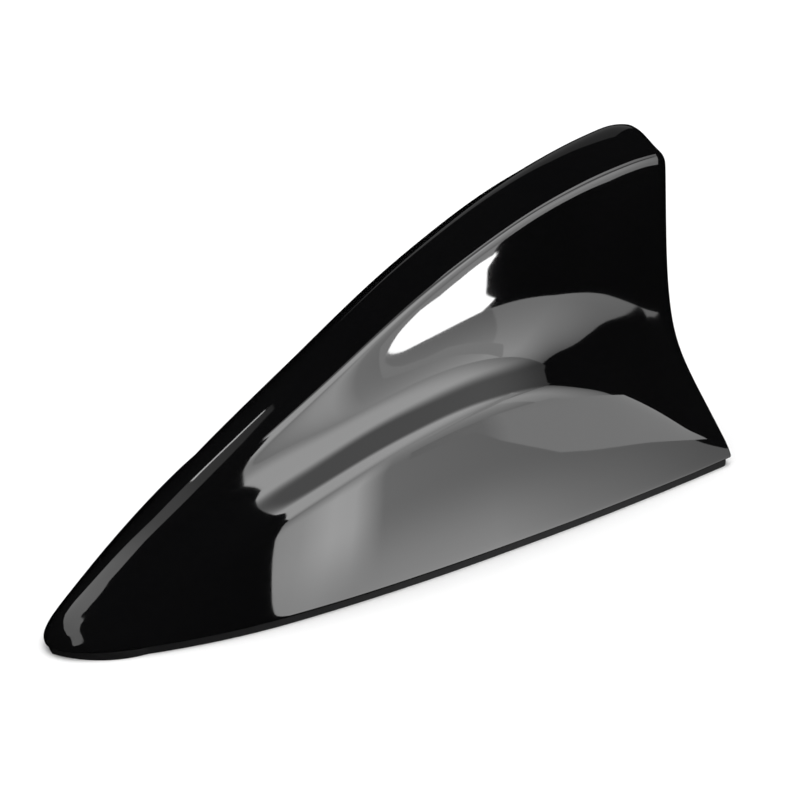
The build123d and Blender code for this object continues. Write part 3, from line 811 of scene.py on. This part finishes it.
def sideGlow():
    # three rows of levels, one above the other
    material, nodes, links, glow = startGlow("side_panel", tent["strength"])
    along = distanceAlong(nodes, links, tentSideways)
    up = distanceAlong(nodes, links, (0, 0, 1))
    foot, middle, head = [levelsAlong(nodes, links, along, tent[name])
                          for name in ("sideFoot", "sideMiddle", "sideHead")]
    low = blendLevels(nodes, links, fade(nodes, links, up, tent["sideLowSpan"]), foot, middle)
    rise = fade(nodes, links, up, tent["sideHighSpan"], curve="LINEAR")
    links.new(blendLevels(nodes, links, rise, low, head), glow.inputs["Color"])
    return material


def backGlow():
    material, nodes, links, glow = startGlow("back_panel", tent["strength"])
    along = distanceAlong(nodes, links, tentSideways)
    up = distanceAlong(nodes, links, (0, 0, 1))
    low, high = [levelsAlong(nodes, links, along, tent[name]) for name in ("backLow", "backHigh")]
    rise = fade(nodes, links, up, tent["backSpan"], curve="LINEAR")
    links.new(blendLevels(nodes, links, rise, low, high), glow.inputs["Color"])
    return material


def roofGlow():
    # dark band over the valley, bright and fading outside it, softer inside it, all dimmer at the tail
    material, nodes, links, glow = startGlow("roof_panel", tent["strength"])
    across = distanceAlong(nodes, links, (-tent["roofSkew"], -1, 0))
    out = distanceAlong(nodes, links, tentOutwards)
    bodySpan, crestSpan = [[tent["roofValley"] + place for place in tent[name]]
                           for name in ("roofBodySpan", "roofCrestSpan")]
    body = fade(nodes, links, out, tent["roofFrontSpan"], (tent["roofBright"], tent["roofFront"]))
    body = combine(nodes, links, "MULTIPLY", body, fade(nodes, links, across, bodySpan))
    dim = tent["roofDim"]
    crest = fade(nodes, links, across, crestSpan, (tent["roofCrest"] + dim, dim))
    level = combine(nodes, links, "ADD", body, crest)
    tail = fade(nodes, links, distanceAlong(nodes, links, (1, 0, 0)), tent["roofTailSpan"], (1, tent["roofTail"]))
    links.new(combine(nodes, links, "MULTIPLY", level, tail), glow.inputs["Color"])
    return material


def alongGlow(name, direction, stops):
    material, nodes, links, glow = startGlow(name, tent["strength"])
    levels = levelsAlong(nodes, links, distanceAlong(nodes, links, direction), stops)
    links.new(levels, glow.inputs["Color"])
    return material


def evenGlow(name, strength):
    material, _, _, glow = startGlow(name, strength)
    glow.inputs["Color"].default_value = (1, 1, 1, 1)
    return material


def addCard(name, corners, material):
    # edges first, because the outlines have hollows that a plain face would lose
    bm = bmesh.new()
    verts = [bm.verts.new(corner) for corner in corners]
    edges = [bm.edges.new(ends) for ends in zip(verts, verts[1:] + verts[:1])]
    bmesh.ops.triangle_fill(bm, use_beauty=True, edges=edges)
    card = addPiece(name, bm)
    dress(card, material)
    card.visible_camera = False
    card.visible_diffuse = False
    card.visible_transmission = False
    card.visible_shadow = False
    return card


def buildTent():
    glows = {
        "side": sideGlow(),
        "back": backGlow(),
        "lobe": alongGlow("lobe_card", tentSideways, tent["lobeLevels"]),
        "roof": roofGlow(),
        "nose": alongGlow("nose_card", (1, 0, 0), tent["noseLevels"]),
    }
    for name, (finish, strength) in tent["even"].items():
        glows[name] = evenGlow(finish, strength)
    cards = []
    for name, (away, outline) in tent["upright"].items():
        corners = [tentPoint(along, up, away) for along, up in outline]
        cards.append(addCard("tent_" + name, corners, glows[name]))
    for name, (height, outline) in tent["level"].items():
        corners = [Vector((x, y, height)) * mm for x, y in outline]
        cards.append(addCard("tent_" + name, corners, glows[name]))
    return cards


print("light tent built:", len(buildTent()), "cards")

# Camera at the photograph's angle
shot = {
    "place": (-0.4561, -0.5435, 0.3568),
    "aim": (0.00548, -0.00327, 0.02818),
    "lens": 184.1,
    "sensor": 36,
}
cameraData = bpy.data.cameras.new("camera")
cameraData.lens = shot["lens"]
cameraData.sensor_width = shot["sensor"]
camera = bpy.data.objects.new("camera", cameraData)
camera.location = shot["place"]
camera.rotation_euler = (Vector(shot["aim"]) - Vector(shot["place"])).to_track_quat("-Z", "Y").to_euler()
bpy.context.scene.collection.objects.link(camera)
bpy.context.scene.camera = camera
bpy.context.scene.view_settings.view_transform = "Standard"
print("camera placed")
